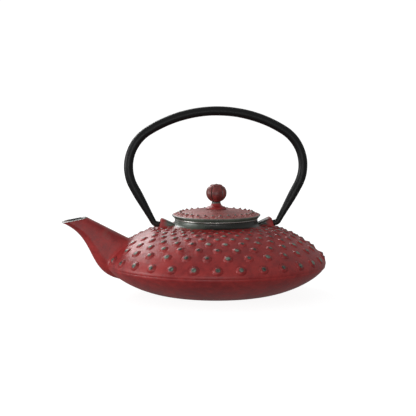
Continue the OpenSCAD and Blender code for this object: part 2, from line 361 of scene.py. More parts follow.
def nail_template(sides, levels):
    """A disc of rings, each level a share of its radius, closed underneath."""
    bm = bmesh.new()
    bmesh.ops.create_circle(bm, cap_ends=True, segments=sides, radius=1)
    middle = bm.faces[:][0]
    for wide, narrow in zip(levels, levels[1:]):
        bmesh.ops.inset_region(bm, faces=[middle], use_even_offset=True,
                               thickness=(wide - narrow) * math.cos(math.pi / sides))
    bmesh.ops.poke(bm, faces=[middle])
    brim = [e for e in bm.edges if e.is_boundary]
    skirt = bmesh.ops.extrude_edge_only(bm, edges=brim)["geom"]
    low = [v for v in skirt if isinstance(v, bmesh.types.BMVert)]
    bmesh.ops.translate(bm, vec=(0, 0, -1), verts=low)
    bmesh.ops.contextual_create(bm, geom=[e for e in skirt if isinstance(e, bmesh.types.BMEdge)])
    bmesh.ops.recalc_face_normals(bm, faces=bm.faces)
    for face in bm.faces:
        face.smooth = True
    mesh = bpy.data.meshes.new("nail")
    bm.to_mesh(mesh)
    bm.free()
    return mesh


def raise_nail(bm, template, outline, centre, angle, radius, height, wear):
    """Sets one soft mound on a turned surface and notes how far each of its points is from its tip."""
    share = bm.verts.layers.float["nail_share"]
    worn = bm.verts.layers.float["nail_wear"]
    start = len(bm.verts)
    bm.from_mesh(template)
    bm.verts.ensure_lookup_table()
    _, normal, _ = outline.nearest(centre)
    along = Vector((-normal.y, normal.x))
    lean = Vector((dice.uniform(-NAIL_LEAN, NAIL_LEAN), dice.uniform(-NAIL_LEAN, NAIL_LEAN)))
    for v in bm.verts[start:]:
        rho = Vector((v.co.x, v.co.y)).length
        bulge = (1 - min(rho, 1) ** 2) ** NAIL_BULGE
        u = radius * (v.co.x + lean.x * bulge)
        w = radius * (v.co.y + lean.y * bulge)
        foot, out, _ = outline.nearest(centre + along * u)
        lift = height * bulge - 0.03 if v.co.z > -0.5 else -NAIL_ROOT
        v.co = turned(foot + out * lift, angle + w / foot.x)
        v[share] = min(rho, 1)
        v[worn] = wear


def ready_for_nails(bm):
    """A fresh copy of a drawing, so that new points come last in it, with the layers nails need."""
    fresh = bmesh.new()
    join(fresh, bm)
    share = fresh.verts.layers.float.new("nail_share")
    fresh.verts.layers.float.new("nail_wear")
    for v in fresh.verts:
        v[share] = 1.0
    return fresh


# ---------------------------------------------------------------- pot

def spout_section(count):
    """Half-width and height across the spout, both -1 to 1: flat cheeks, a soft chine low on each."""
    half = [(1, 0), (0.97, 0.36), (0.87, 0.68), (0.62, 0.87), (0.2, 0.955), (-0.2, 0.99),
            (-0.46, 1), (-0.56, 0.955), (-0.7, 0.8), (-0.86, 0.56), (-0.965, 0.28), (-1, 0)]
    ring = half + [(s, -w) for s, w in half[-2:0:-1]]
    lengths = [0]
    for a, b in zip(ring, ring[1:] + ring[:1]):
        lengths.append(lengths[-1] + math.dist(a, b))
    points = []
    n = len(ring)
    for k in range(count):
        target = lengths[-1] * k / count
        i = max(j for j in range(n) if lengths[j] <= target)
        t = (target - lengths[i]) / (lengths[i + 1] - lengths[i])
        p0, p1, p2, p3 = (Vector(ring[(i + d) % n]) for d in (-1, 0, 1, 2))
        points.append(0.5 * (2 * p1 + (p2 - p0) * t + (2 * p0 - 5 * p1 + 4 * p2 - p3) * t * t
                             + (3 * p1 - p0 - 3 * p2 + p3) * t ** 3))
    return points


SECTION = spout_section(SPOUT_SIDES)
lower_slope = 3 * (LOWER_BELLY - LOWER_ROOT)


def spout_point(side, t, inset=0.0):
    """A point of the spout's skin: t runs from the root, 0, to the mouth, 1."""
    upper = UPPER_ROOT + (UPPER_LIP - UPPER_ROOT) * t
    s = 1 - t
    if t > 0:
        lower = (LOWER_ROOT * s ** 3 + LOWER_BELLY * (3 * s * s * t)
                 + LOWER_THROAT * (3 * s * t * t) + TIP * t ** 3)
    else:
        lower = LOWER_ROOT + lower_slope * t
    centre = (upper + lower) / 2
    reach = (upper - lower) / 2
    up = reach * (1 - inset / reach.length)
    half_w = lerp(SPOUT_ROOT_HALF, SPOUT_MOUTH_HALF, max(t, 0)) - inset
    high, wide = SECTION[side]
    return Vector((centre.x + up.x * high, half_w * wide, centre.y + up.y * high))


def spout_middle(t):
    """The middle of the spout, halfway between its ridge and its keel."""
    return (spout_point(0, t) + spout_point(SPOUT_SIDES // 2, t)) / 2


def above_bowl(point):
    """How far a point stands out of the bowl, with the nearest point of its skin and the way out."""
    radius = Vector((point.x, point.y)).length
    foot, out, gap = bowl.nearest(Vector((radius, point.z)))
    spoke = Vector((point.x, point.y, 0)).normalized()
    skin = spoke * foot.x + Vector((0, 0, foot.y))
    return gap, skin, (spoke * out.x + Vector((0, 0, out.y))).normalized()


def crossing(walk, outside, inside):
    """Where a walk from outside to inside goes through the bowl's skin."""
    for _ in range(30):
        middle = (outside + inside) / 2
        if above_bowl(walk(middle))[0] > 0:
            outside = middle
        else:
            inside = middle
    return (outside + inside) / 2


def filleted(walk, sideways, outside, inside, size, steps, straight):
    """Points down a wall that flow onto the bowl in a fillet, then dive under its skin.

    walk gives the wall's point at a parameter, and sideways its outward normal there."""
    t_hit = crossing(walk, outside, inside)
    hit = walk(t_hit)
    step = (inside - outside) * 1e-3
    down = (walk(t_hit + step) - hit).normalized()
    _, _, bowl_out = above_bowl(hit)
    wall_out = sideways(t_hit)
    away = wall_out * -down.dot(bowl_out) + down * wall_out.dot(bowl_out)
    away = away.normalized() if away.length > 1e-3 else wall_out
    t_start = t_hit
    for _ in range(400):
        if (walk(t_start) - hit).length >= size or abs(t_start - outside) < abs(step):
            break
        t_start -= step
    start = walk(t_start)
    _, end, end_out = above_bowl(hit + away * size)
    line = [walk(lerp(outside, t_start, i / straight)) for i in range(straight)]
    for i in range(steps + 1):
        t = i / steps
        line.append(start * (1 - t) ** 2 + hit * (2 * t * (1 - t)) + end * t * t)
    line[-1] = end - end_out * 0.03
    line.append(end - end_out * 1.2)
    return line


def make_spout(bm):
    """The spout's outside, its fillet onto the bowl, its lip and its channel, as one closed skin."""
    lines = []
    for side in range(SPOUT_SIDES):
        before, after = (side - 1) % SPOUT_SIDES, (side + 1) % SPOUT_SIDES

        def walk(t, side=side):
            return spout_point(side, t)

        def sideways(t):
            run = spout_point(side, t + 1e-3) - spout_point(side, t - 1e-3)
            across = spout_point(after, t) - spout_point(before, t)
            out = run.cross(across).normalized()
            return out if out.dot(walk(t) - spout_middle(t)) > 0 else -out

        high = SECTION[side][0]
        size = lerp(SPOUT_FILLET_LOW, SPOUT_FILLET_HIGH, (high + 1) / 2)
        outside = filleted(walk, sideways, 0.997, SPOUT_SINK, size, 7, 22)
        normal = Vector((-LIP.y, 0, LIP.x)).normalized()
        lip = [spout_point(side, 1, SPOUT_WALL - 0.4) - normal * 0.1,
               spout_point(side, 1, SPOUT_WALL * 0.62) + normal * 0.28,
               spout_point(side, 1, SPOUT_WALL * 0.3) + normal * 0.25,
               spout_point(side, 1, 0.15) - normal * 0.1]
        channel = [spout_point(side, t, SPOUT_WALL) for t in (-0.3, -0.15, 0, 0.1, 0.2, 0.3, 0.4,
                                                              0.5, 0.6, 0.7, 0.8, 0.9, 0.97)]
        lines.append(channel + lip + outside)
    rings = [[line[i] for line in lines] for i in range(len(lines[0]))]
    lofted(bm, rings, closed_loop=True)


def make_channel():
    """The hole through the bowl's wall, a little wider than the spout's own channel."""
    bm = bmesh.new()
    stations = [-0.5, -0.3, -0.1, 0.05, 0.15]
    rings = [[spout_point(side, t, SPOUT_WALL - 0.5) for side in range(SPOUT_SIDES)] for t in stations]
    ends = []
    for ring in (rings[0], rings[-1]):
        middle = sum(ring, Vector()) / len(ring)
        ends.append([middle] * SPOUT_SIDES)
    lofted(bm, [ends[0]] + rings + [ends[1]])
    bmesh.ops.recalc_face_normals(bm, faces=bm.faces)
    return bm


def ear_top(x):
    """Height of an ear's top at a distance from the axis."""
    if x > EAR_TURN_X:
        return EAR_PEAK.y + math.sqrt(max(EAR_PEAK_R ** 2 - (x - EAR_PEAK.x) ** 2, 0))
    return EAR_TURN_H - (EAR_TURN_X - x) * EAR_SLOPE


def make_ear(bm, way):
    """One ear: a thick tab that leans on the neck, softened along every edge."""
    outer = EAR_PEAK.x + EAR_PEAK_R - 0.15 - EAR_CORNER_R
    half = EAR_HALF_T - EAR_CORNER_R
    corners = [(outer, half), (EAR_INNER_X, half), (EAR_INNER_X, -half), (outer, -half)]
    loop = []
    for quarter, corner in enumerate(corners):
        loop += arc(corner, EAR_CORNER_R, 90 * quarter, 90 * quarter + 90, 4)
    dense = []
    for a, b in zip(loop, loop[1:] + loop[:1]):
        pieces = max(1, round((b - a).length / 1.8))
        dense += [lerp(a, b, i / pieces) for i in range(pieces)]
    middle = Vector((EAR_MIDDLE_X, 0))
    lines = []
    for spot in dense:
        inward = (middle - spot).normalized()

        def walk(t, spot=spot, inward=inward):
            # 0 is at the top edge and 1 is deep in the bowl; the outer face leans out as it goes down
            top = ear_top(spot.x) - 1.1
            height = lerp(top, EAR_ROOT_H, t)
            outer_share = min(max((spot.x - 40) / 4, 0), 1)
            lean = spot - inward * 0.4 * t + Vector((EAR_LEAN * outer_share * (top - height), 0))
            return Vector((way * lean.x, lean.y, height))

        def sideways(t, inward=inward):
            return Vector((-way * inward.x, -inward.y, 0.0)).normalized()

        crown = []
        for share in (0, 0.35, 0.7, 0.88):
            flat = lerp(middle, spot, share)
            crown.append(Vector((way * flat.x, flat.y, ear_top(flat.x))))
        edge = spot + inward * EAR_EDGE
        crown.append(Vector((way * edge.x, edge.y, ear_top(edge.x) - EAR_EDGE)))
        if above_bowl(walk(0))[0] > 0:
            down = filleted(walk, sideways, 0.0, 1.0, EAR_FILLET, 4, 4)
        else:
            down = [walk(t / 9) for t in range(10)]
        lines.append(crown + down + [Vector((way * middle.x, 0, EAR_ROOT_H))])
    rings = [[line[i] for line in lines] for i in range(len(lines[0]))]
    lofted(bm, rings)


def make_hole(way):
    """The round hole in an ear's face for the bail's hook."""
    bm = bmesh.new()
    radius = HOOK_R + HOLE_GAP
    bmesh.ops.create_cone(bm, cap_ends=True, segments=32, radius1=radius, radius2=radius, depth=HOLE_DEPTH,
                          matrix=Matrix.Translation((way * HOLE_CENTRE_X, 0, PIVOT_H))
                          @ Matrix.Rotation(math.pi / 2, 4, "Y"))
    return bm


def make_shell():
    """The turned bowl and neck, outside and inside, with a soft parting seam below the widest ring."""
    ridge = bowl.nearest(Vector((BODY_R, PARTING_H)))[0].x
    below = [p for p in outer_bowl if p.y < PARTING_H - 1.3]
    above = [p for p in outer_bowl if p.y > PARTING_H + 1.2]
    seam = [(ridge - 0.2, PARTING_H - 1.0), (ridge - 0.05, PARTING_H - 0.5),
            (ridge + 0.07, PARTING_H), (ridge + 0.07, PARTING_H + 0.5), (ridge + 0.03, PARTING_H + 0.9)]
    neck_lip = [(NECK_R - 0.2, NECK_TOP - 0.2), (NECK_R - 0.6, NECK_TOP), (MOUTH_R + 0.5, NECK_TOP),
                (MOUTH_R, NECK_TOP - 0.5), (MOUTH_R, CEILING_H + 1.2), (MOUTH_R + 1.2, CEILING_H + 0.3)]
    profile = ([(0, 0), (FOOT_R * 0.5, 0)] + below + seam + above + neck_curve + neck_lip
               + inner_bowl[::-1] + [(FOOT_R * 0.5, FLOOR_T), (0, FLOOR_T)])
    bm = bmesh.new()
    spun(bm, profile, POT_STEPS)
    tidy(bm)
    return cut(bm, make_channel())


def nail_the_shoulder(bm):
    """Sets staggered rings of hobnails up the shoulder, each ring smaller than the one below."""
    template = nail_template(12, POT_NAIL_LEVELS)
    for ring in range(NAIL_RINGS):
        shrink = RING_RATIO ** ring
        centre = bowl.at_radius(FIRST_RING_R * shrink)
        size = NAIL_SIZE * shrink ** NAIL_SIZE_FALL
        for i in range(NAILS):
            angle = math.tau * (i + (ring % 2) / 2) / NAILS
            spot = turned(centre, angle)
            if spot.x < 0 and centre.x > SPOUT_BARE_R and abs(spot.y) < SPOUT_BARE_HALF:
                continue
            if centre.x < EAR_X + EAR_BARE_GAP and abs(spot.y) < EAR_HALF_T + 1:
                continue
            jitter = Vector((dice.gauss(0, NAIL_SCATTER), dice.gauss(0, NAIL_SCATTER)))
            raise_nail(bm, template, bowl, centre + jitter,
                       angle + dice.gauss(0, NAIL_SCATTER) / centre.x, size * NAIL_SPREAD,
                       size * NAIL_RISE * dice.uniform(0.9, 1.08), dice.random())
    bpy.data.meshes.remove(template)


def enamel_inside(bm):
    """Faces inside the bowl and the spout's channel take the second finish."""
    for face in bm.faces:
        spot = face.calc_center_median()
        radius = math.hypot(spot.x, spot.y)
        in_bowl = radius < MOUTH_R + 0.4 and 1.0 < spot.z < NECK_TOP - 0.1
        in_wall = above_bowl(spot)[0] < -WALL * 0.7
        in_spout = spot.x < CHANNEL_FROM_X and faces_channel(spot, face.normal)
        face.material_index = 1 if in_bowl or in_wall or in_spout else 0


def faces_channel(spot, normal):
    """Whether a face near the spout looks towards the spout's middle."""
    for t in (i / 16 for i in range(-4, 17)):
        inward = spout_middle(t) - spot
        ridge = (spout_point(0, t + 0.01) - spout_point(0, t)).normalized()
        beside = inward.length < CHANNEL_REACH and abs(inward.dot(ridge)) < CHANNEL_STRIDE
        if beside and normal.dot(inward) > 0:
            return True
    return False


def make_pot():
    """The one casting: bowl, neck, spout, ears and hobnails."""
    shell = make_shell()
    bm = bmesh.new()
    make_spout(bm)
    for way in (1, -1):
        ear = bmesh.new()
        make_ear(ear, way)
        tidy(ear)
        join(bm, cut(ear, make_hole(way)))
    join(bm, shell)
    tidy(bm)
    enamel_inside(bm)
    bm = ready_for_nails(bm)
    nail_the_shoulder(bm)
    return bm


# ---------------------------------------------------------------- lid, seat and knob

def make_lid():
    """The domed plate with a thin edge, a low ring underneath and two rings of hobnails."""
    edge = [(LID_R - 0.12, LID_RIM_H - 0.95), (LID_R - 0.7, LID_RIM_H - 1.5),
            (LID_R - 1.4, LID_SEAT_H + 0.5), (LID_R - 2.0, LID_SEAT_H)]
    inside = SPIGOT_R - SPIGOT_T
    step = SPIGOT_EDGE
    under = [(SPIGOT_R + step, LID_SEAT_H), (SPIGOT_R, LID_SEAT_H - step), (SPIGOT_R, lid_low.z + step),
             (SPIGOT_R - step, lid_low.z), (inside + step, lid_low.z), (inside, lid_low.z + step)] \
        + bezier((inside, LID_SEAT_H - 0.4), (20.2, LID_SEAT_H + 2.6), (18, DOME_H - DOME_T),
                 (9, DOME_H - DOME_T), 10)
    profile = ([(STEM_HOLE_R, DOME_H), (SEAT_R * 0.6, DOME_H)] + [tuple(p) for p in dome.points[::-1]]
               + edge + under + [(STEM_HOLE_R, DOME_H - DOME_T)])
    bm = bmesh.new()
    spun(bm, profile + profile[:1], LID_STEPS)
    tidy(bm)
    bm = ready_for_nails(bm)
    template = nail_template(10, LID_NAIL_LEVELS)
    for ring, (size, rise) in enumerate(LID_NAILS):
        centre = dome.at_radius(LID_R - LID_NAIL_EDGE - LID_NAIL_PITCH * ring)
        for i in range(NAILS):
            angle = math.tau * (i + ring / 2) / NAILS
            raise_nail(bm, template, dome, centre, angle, size, rise * dice.uniform(0.88, 1.1),
                       dice.random())
    bpy.data.meshes.remove(template)
    return bm


def make_seat():
    """The flared seat: a stepped foot, then a hollow curve up to the knob."""
    base, top = seat_low.z, seat_high.z
    profile = [(STEM_HOLE_R, base), (SEAT_R - 0.3, base), (SEAT_R, base + 0.3), (SEAT_R, base + 0.65),
               (SEAT_R - 0.3, base + 1.0), (SEAT_R - 0.75, base + 1.6), (SEAT_R - 1.2, base + 1.95)] \
        + bezier((SEAT_R - 2.1, base + 2.2), (SEAT_R - 3.4, base + 2.5),
                 (KNOB_NECK_R + 0.35, base + 3.6), (KNOB_NECK_R + 0.1, top), 10) + [(STEM_HOLE_R, top)]
    bm = bmesh.new()
    spun(bm, profile + profile[:1], SEAT_STEPS)
    tidy(bm)
    return bm


def make_knob():
    """A ball of lobes like a flower bud, with a stepped cap and a nipple."""
    foot = knob_low.z
    ball = [Vector((p.x, KNOB_CENTRE + (p.y - KNOB_CENTRE) * KNOB_SQUASH))
            for p in arc((0, KNOB_CENTRE), KNOB_R, -64, 38, 26)]
    rim = ball[-1].y
    cap = [(6.1, rim + 0.2), (5.9, rim + 0.5), (5.4, rim + 0.75), (5.0, rim + 0.85),
           (4.9, rim + 1.4), (4.5, rim + 1.75), (3.4, rim + 1.95), (1.7, rim + 2.05),
           (1.2, rim + 2.35), (1.0, knob_high.z - 0.4), (0.55, knob_high.z - 0.05), (0, knob_high.z)]
    stem = [(0, foot), (2.6, foot), (3.2, foot + 0.5), (2.4, foot + 0.9), (2.4, seat_high.z),
            (KNOB_NECK_R, seat_high.z), (KNOB_NECK_R - 0.1, seat_high.z + 0.4)]
    bm = bmesh.new()
    spun(bm, stem + [tuple(p) for p in ball] + cap, KNOB_STEPS)
    groove_layer = bm.verts.layers.float.new("groove")
    pitch = math.tau / LOBES
    for v in bm.verts:
        radius = math.hypot(v.co.x, v.co.y)
        rise = (v.co.z - KNOB_CENTRE) / KNOB_R
        if radius < 0.3 or v.co.z < seat_high.z + 0.5:
            continue
        angle = math.atan2(v.co.y, v.co.x) + math.pi / 2
        off = abs((angle + pitch / 2) % pitch - pitch / 2)
        to_groove = (pitch / 2 - off) * radius
        band = max(0.0, 1 - (rise / 0.93) ** 6) if rise < 0 else max(0.0, 1 - (rise / 0.68) ** 8)
        depth = band * math.exp(-(to_groove / GROOVE_HALF) ** 2)
        swell = band * LOBE_SWELL * math.cos(off * LOBES)
        change = (swell - GROOVE_DEPTH * depth - 0.12 * band) / radius
        v.co.x *= 1 + change
        v.co.y *= 1 + change
        v[groove_layer] = depth
    tidy(bm, 50)
    return bm


# ---------------------------------------------------------------- bail

def bail_stations():
    """Centre, heading and rod radius along the right half of the bail, from the hook to the crown."""
    corner_reach = CORNER_X + CORNER_R * math.cos(LEG_TILT) - ELBOW_X
    corner_z = PIVOT_H + CORNER_R * math.sin(LEG_TILT) + corner_reach / math.tan(LEG_TILT)
    gap = BAIL_TOP - corner_z - CORNER_R
    drop = (CORNER_X ** 2 - gap ** 2) / (2 * gap)
    crown_r = CORNER_R + math.hypot(CORNER_X, drop)
    crown_half = math.atan2(CORNER_X, drop)
    tangent = ELBOW_R * math.tan((math.pi / 2 - LEG_TILT) / 2)
    stations = [(HOOK_END_X, PIVOT_H, 0.0, HOOK_R * 0.7), (HOOK_END_X + 0.6, PIVOT_H, 0.0, HOOK_R)]
    for x in (43, 45.5, 47):
        stations.append((x, PIVOT_H, 0.0, HOOK_R))

    def sweep(centre, radius, start, end, steps, rod):
        for i in range(steps + 1):
            a = lerp(start, end, i / steps)
            stations.append((centre[0] + radius * math.cos(a), centre[1] + radius * math.sin(a),
                             a + math.pi / 2, rod))

    sweep((ELBOW_X - tangent, PIVOT_H + ELBOW_R), ELBOW_R, -math.pi / 2, -LEG_TILT, 8, ELBOW_ROD_R)
    leg = Vector((math.sin(LEG_TILT), math.cos(LEG_TILT)))
    foot = Vector((ELBOW_X, PIVOT_H)) + leg * tangent
    for share in (0.15, 0.32, 0.5, 0.68, 0.85, 1.0):
        spot = foot + leg * TAPER * share
        ease = 0.7 * share + 0.3 * share * share * (3 - 2 * share)
        stations.append((spot.x, spot.y, math.pi / 2 - LEG_TILT, lerp(ELBOW_ROD_R, ROD_R, ease)))
    sweep((CORNER_X, corner_z), CORNER_R, -LEG_TILT, math.pi / 2 - crown_half, 34, ROD_R)
    sweep((0, corner_z - drop), crown_r, math.pi / 2 - crown_half, math.pi / 2, 20, ROD_R)
    return stations


def make_bail():
    """The round rod, hook to hook, with the slight unevenness of forging."""
    right = bail_stations()
    left = [(-x, z, math.tau - heading, rod) for x, z, heading, rod in right[-2::-1]]
    rings = []
    for x, z, heading, rod in right + left:
        ring = []
        for k in range(BAIL_SIDES):
            q = math.tau * k / BAIL_SIDES
            ring.append(Vector((x - rod * math.cos(q) * math.sin(heading), -rod * math.sin(q),
                                z + rod * math.cos(q) * math.cos(heading))))
        rings.append(ring)
    ends = [[sum(ring, Vector()) / BAIL_SIDES] * BAIL_SIDES for ring in (rings[0], rings[-1])]
    bm = bmesh.new()
    lofted(bm, [ends[0]] + rings + [ends[1]])
    tidy(bm, 50)
    for v in bm.verts:
        v.co += v.normal * 0.10 * noise.noise(v.co * 0.09)
    return bm


# ---------------------------------------------------------------- infuser

def make_rim():
    """A pressed ring: a rolled edge, a flat that the lid sits on and a skirt down inside the mesh."""
    low = rim_low.z
    skirt_out = wall_high.x - SHEET_T
    skirt_in = skirt_out - SHEET_T
    roll = (rim_high.z - NECK_TOP) / 2
    profile = [(skirt_in, low + 0.1), (skirt_in + SHEET_T / 2, low), (skirt_out, low + 0.1),
               (skirt_out, NECK_TOP - 0.5), (skirt_out + 0.5, NECK_TOP)] \
        + arc((rim_high.x - roll, NECK_TOP + roll), roll, -90, 90, 8) \
        + [(skirt_in + 0.8, rim_high.z), (skirt_in + 0.2, rim_high.z - 0.2), (skirt_in, rim_high.z - 0.8)]
    bm = bmesh.new()
    spun(bm, profile + profile[:1], SHEET_STEPS)
    tidy(bm, 60)
    return bm


def make_floor_ring():
    """The crimped channel round the basket's floor."""
    low, high, out = ring_low.z, ring_high.z, ring_high.x
    inner = wall_high.x
    turned_in = inner - 3.5
    profile = [(turned_in, low), (out - 0.8, low), (out - 0.2, low + 0.2), (out, low + 0.8),
               (out, high - 0.6), (out - 0.1, high - 0.15), (inner + 0.02, high),
               (inner + 0.02, low + SHEET_T), (turned_in, low + SHEET_T)]
    bm = bmesh.new()
    spun(bm, profile + profile[:1], SHEET_STEPS)
    tidy(bm, 60)
    return bm


# ---------------------------------------------------------------- finishes

def tone(red, green, blue):
    """A colour given as it looks on a screen, 0 to 255, as linear light."""
    linear = []
    for value in (red, green, blue):
        c = value / 255
        linear.append(c / 12.92 if c <= 0.04045 else ((c + 0.055) / 1.055) ** 2.4)
    return (*linear, 1.0)


class Socket:
    """An output of a finish's nodes. Arithmetic on it adds Math nodes."""

    def __init__(self, finish, outlet):
        self.finish = finish
        self.outlet = outlet

    def math(self, operation, *others):
        """A Math node that takes this output first and the others after it."""
        return self.finish.add("Math", {"operation": operation}, dict(enumerate((self, *others))))

    def __add__(self, other):
        return self.math("ADD", other)

    def __sub__(self, other):
        return self.math("SUBTRACT", other)

    def __rsub__(self, other):
        return self.finish.add("Math", {"operation": "SUBTRACT"}, {0: other, 1: self})

    def __mul__(self, other):
        return self.math("MULTIPLY", other)

    def __abs__(self):
        return self.math("ABSOLUTE")

    __radd__ = __add__
    __rmul__ = __mul__


class Finish:
    """A material made of nodes, patterned in millimetres on the piece's own coordinates."""

    def __init__(self, name, **constants):
        self.material = bpy.data.materials.new(name)
        self.material.use_nodes = True
        self.tree = self.material.node_tree
        self.shader = self.tree.nodes["Principled BSDF"]
        for socket, value in constants.items():
            self.shader.inputs[socket.replace("_", " ")].default_value = value
        coordinates = self.add("TexCoord", outlet="Object")
        self.place = self.add("Mapping", {"vector_type": "POINT"},
                              {"Vector": coordinates, "Scale": (1 / MM, 1 / MM, 1 / MM)})
        self.x, self.y, self.z = (self.add("SeparateXYZ", {}, {0: self.place}, axis) for axis in "XYZ")

    def add(self, kind, settings=None, sockets=None, outlet=0):
        """A node of a kind, with its settings, and the values or links of its inlets."""
        node = self.tree.nodes.new("ShaderNode" + kind)
        for key, value in (settings or {}).items():
            setattr(node, key, value)
        for key, value in (sockets or {}).items():
            self.feed(node.inputs[key], value)
        return Socket(self, node.outputs[outlet])

    def feed(self, inlet, value):
        """Links an output to an inlet, or sets a plain value on it."""
        if isinstance(value, Socket):
            self.tree.links.new(inlet, value.outlet)
        else:
            inlet.default_value = value

    def radius(self):
        """Distance from the pot's axis."""
        return (self.x * self.x + self.y * self.y).math("SQRT")

    def noise(self, size, detail=2.0, roughness=0.5, place=None):
        """Noise whose features are about size millimetres across."""
        return self.add("TexNoise", {}, {"Vector": place or self.place, "Scale": 1 / size,
                                         "Detail": detail, "Roughness": roughness})

    def fade(self, value, start, end):
        """0 where value is start, 1 where it is end, smooth between."""
        return self.add("MapRange", {"interpolation_type": "SMOOTHSTEP"},
                        {0: value, 1: start, 2: end, 3: 0.0, 4: 1.0})

    def ramp(self, value, start, end, low, high):
        """low where value is start, high where it is end, straight between."""
        return self.add("MapRange", {}, {0: value, 1: start, 2: end, 3: low, 4: high})

    def mix(self, first, second, share):
        return self.add("Mix", {"data_type": "RGBA"}, {0: share, 6: first, 7: second}, 2)

    def layer(self, name):
        """A value that the piece's points carry."""
        return self.add("Attribute", {"attribute_name": name}, {}, "Fac")

    def bump(self, height, depth, below=None):
        sockets = {"Height": height, "Distance": depth * MM, "Strength": 1.0}
        if below:
            sockets["Normal"] = below
        return self.add("Bump", {}, sockets)

    def finish(self, **links):
        """Links the shader's inlets and hands the material over."""
        for socket, value in links.items():
            self.feed(self.shader.inputs[socket.replace("_", " ")], value)
        return self.material


RED = tone(150, 40, 39)
DEEP_RED = tone(122, 25, 27)
BROWN = tone(92, 48, 38)
VERDIGRIS = tone(108, 120, 108)
NEAR_BLACK = tone(26, 26, 22)
BARE_IRON = tone(44, 45, 38)
LIGHT_RED = tone(172, 70, 62)
DARK_RED = tone(74, 30, 28)
# Pale grey-pink of the lid's chalky speckle, which also stands in for a painted sheen
CHALK_AND_SHEEN = tone(192, 170, 162)
# Dark red of the painted shade round each hobnail's bare tip
NAIL_PAINTED_SHADE = tone(58, 26, 23)


def green_and_reflection_near_spout(f):
    """Greener bare iron towards the spout's side, where the light comes from: partly verdigris, partly a
    painted teal reflection. Dark iron elsewhere.
    """
    return f.fade(f.x + (f.noise(14, 2, 0.5) - 0.5) * 30, -6, -26) * 0.5


def green_all_round(f):
    """Verdigris in soft patches all over the bare iron."""
    return f.fade(f.noise(9, 1, 0.4), 0.42, 0.58) * 0.3 + 0.4


def rub_nails(f, colour, rough):
    """Wears the paint off the tips of the hobnails, and paints a dark red ring of shade round each bare
    tip.
    """
    wear = f.layer("nail_wear")
    ragged = f.layer("nail_share") + (f.noise(1.3, 3, 0.6) - 0.5) * 0.3
    reach = f.ramp(wear, 0, 1, 0.34, 0.48)
    tip = f.fade(reach - ragged, -0.03, 0.05)
    # A ring of painted shade on the mound round each bare tip
    outline = f.fade(reach - ragged, -0.2, -0.02)
    colour = f.mix(colour, NAIL_PAINTED_SHADE, outline * 0.6)
    worn = f.mix(BARE_IRON, VERDIGRIS, f.fade(f.noise(2.6, 2, 0.5) + (wear - 0.5) * 0.2, 0.36, 0.68))
    return f.mix(colour, worn, tip), rough - tip * 0.18


def painted_iron(name, patina, green, nailed=False, pale_speckle_and_sheen=False):
    """Red satin paint over sand-cast iron, rubbed through to a dark and green patina.

    patina takes the finish and a wandering value of about 0.5, and gives where the paint is gone; for the
    seat it also gives a painted shadow line at its foot.
    green takes the finish and gives how green the bare iron is."""
    f = Finish(name, Specular_IOR_Level=0.38)
    broad = f.noise(38, 3, 0.6)
    mottle = f.noise(7, 4, 0.62)
    grain = f.noise(1.1, 3, 0.6)
    sand = f.noise(0.45, 2, 0.5)
    red = f.mix(DEEP_RED, RED, f.fade(broad * 0.45 + mottle * 0.55, 0.38, 0.62))
    red = f.mix(red, BROWN, f.fade(f.noise(15, 5, 0.7), 0.56, 0.74) * 0.32)
    red = f.mix(red, LIGHT_RED, f.fade(grain, 0.56, 0.74) * 0.3)
    red = f.mix(red, DARK_RED, f.fade(grain, 0.44, 0.28) * 0.4)
    # The lid's pale speckle, laid on heavily enough to paint in a greyish sheen as well
    if pale_speckle_and_sheen:
        red = f.mix(red, CHALK_AND_SHEEN, f.fade(grain * 0.5 + sand * 0.5, 0.4, 0.66) * 0.5)
    bare = patina(f, mottle)
    colour = f.mix(red, f.mix(NEAR_BLACK, VERDIGRIS, green(f) * 0.8), bare)
    rough = f.ramp(mottle * 0.5 + grain * 0.5, 0.3, 0.7, 0.40, 0.52) - bare * 0.16
    if nailed:
        colour, rough = rub_nails(f, colour, rough)
    height = mottle * 0.5 + grain * 0.32 + sand * 0.18
    return f.finish(Base_Color=colour, Roughness=rough, Normal=f.bump(height, 0.32))


def pot_patina(f, wander):
    """Bare iron round the neck, on the spout's lip and in a smudge on the spout's cheek."""
    high = f.z + (wander - 0.5) * 3
    near_neck = f.fade(high, 55.9, 57.1) * f.fade(abs(f.x) + (wander - 0.5) * 5, 45, 40.5)
    lip_rise = (f.x - TIP.x) * (-LIP.y / LIP.length) + (f.z - TIP.y) * (LIP.x / LIP.length)
    lip = f.fade(lip_rise + (wander - 0.5) * 0.6, -0.4, -0.1) * f.fade(f.x, -103, -105)
    spot_x, spot_z = f.x + 88.5, f.z - 51
    smudge = f.fade(spot_x * spot_x * 0.6 + spot_z * spot_z, 34, 2) * f.fade(wander, 0.42, 0.6) * 0.3
    return near_neck.math("MAXIMUM", lip.math("MAXIMUM", smudge))


def lid_patina(f, wander):
    """Bare iron along the lid's edge and underneath."""
    edge = f.fade(f.radius() + (wander - 0.5) * 0.6, 35.6, 36.0)
    under = f.fade(f.z, LID_RIM_H - 0.6, LID_RIM_H - 1.0)
    return edge.math("MAXIMUM", under)


def seat_dark_top_and_shaded_foot(f, wander):
    """Dark grey-green at the seat's top, under the knob, and a thin painted shadow line along its foot on
    the lid.
    """
    top = f.fade(f.z + (wander - 0.5), seat_high.z - 1.3, seat_high.z - 0.2)
    # Painted shadow line where the seat's foot stands on the lid
    foot = f.fade(f.z, seat_low.z + 0.5, seat_low.z + 0.15)
    return top.math("MAXIMUM", foot)


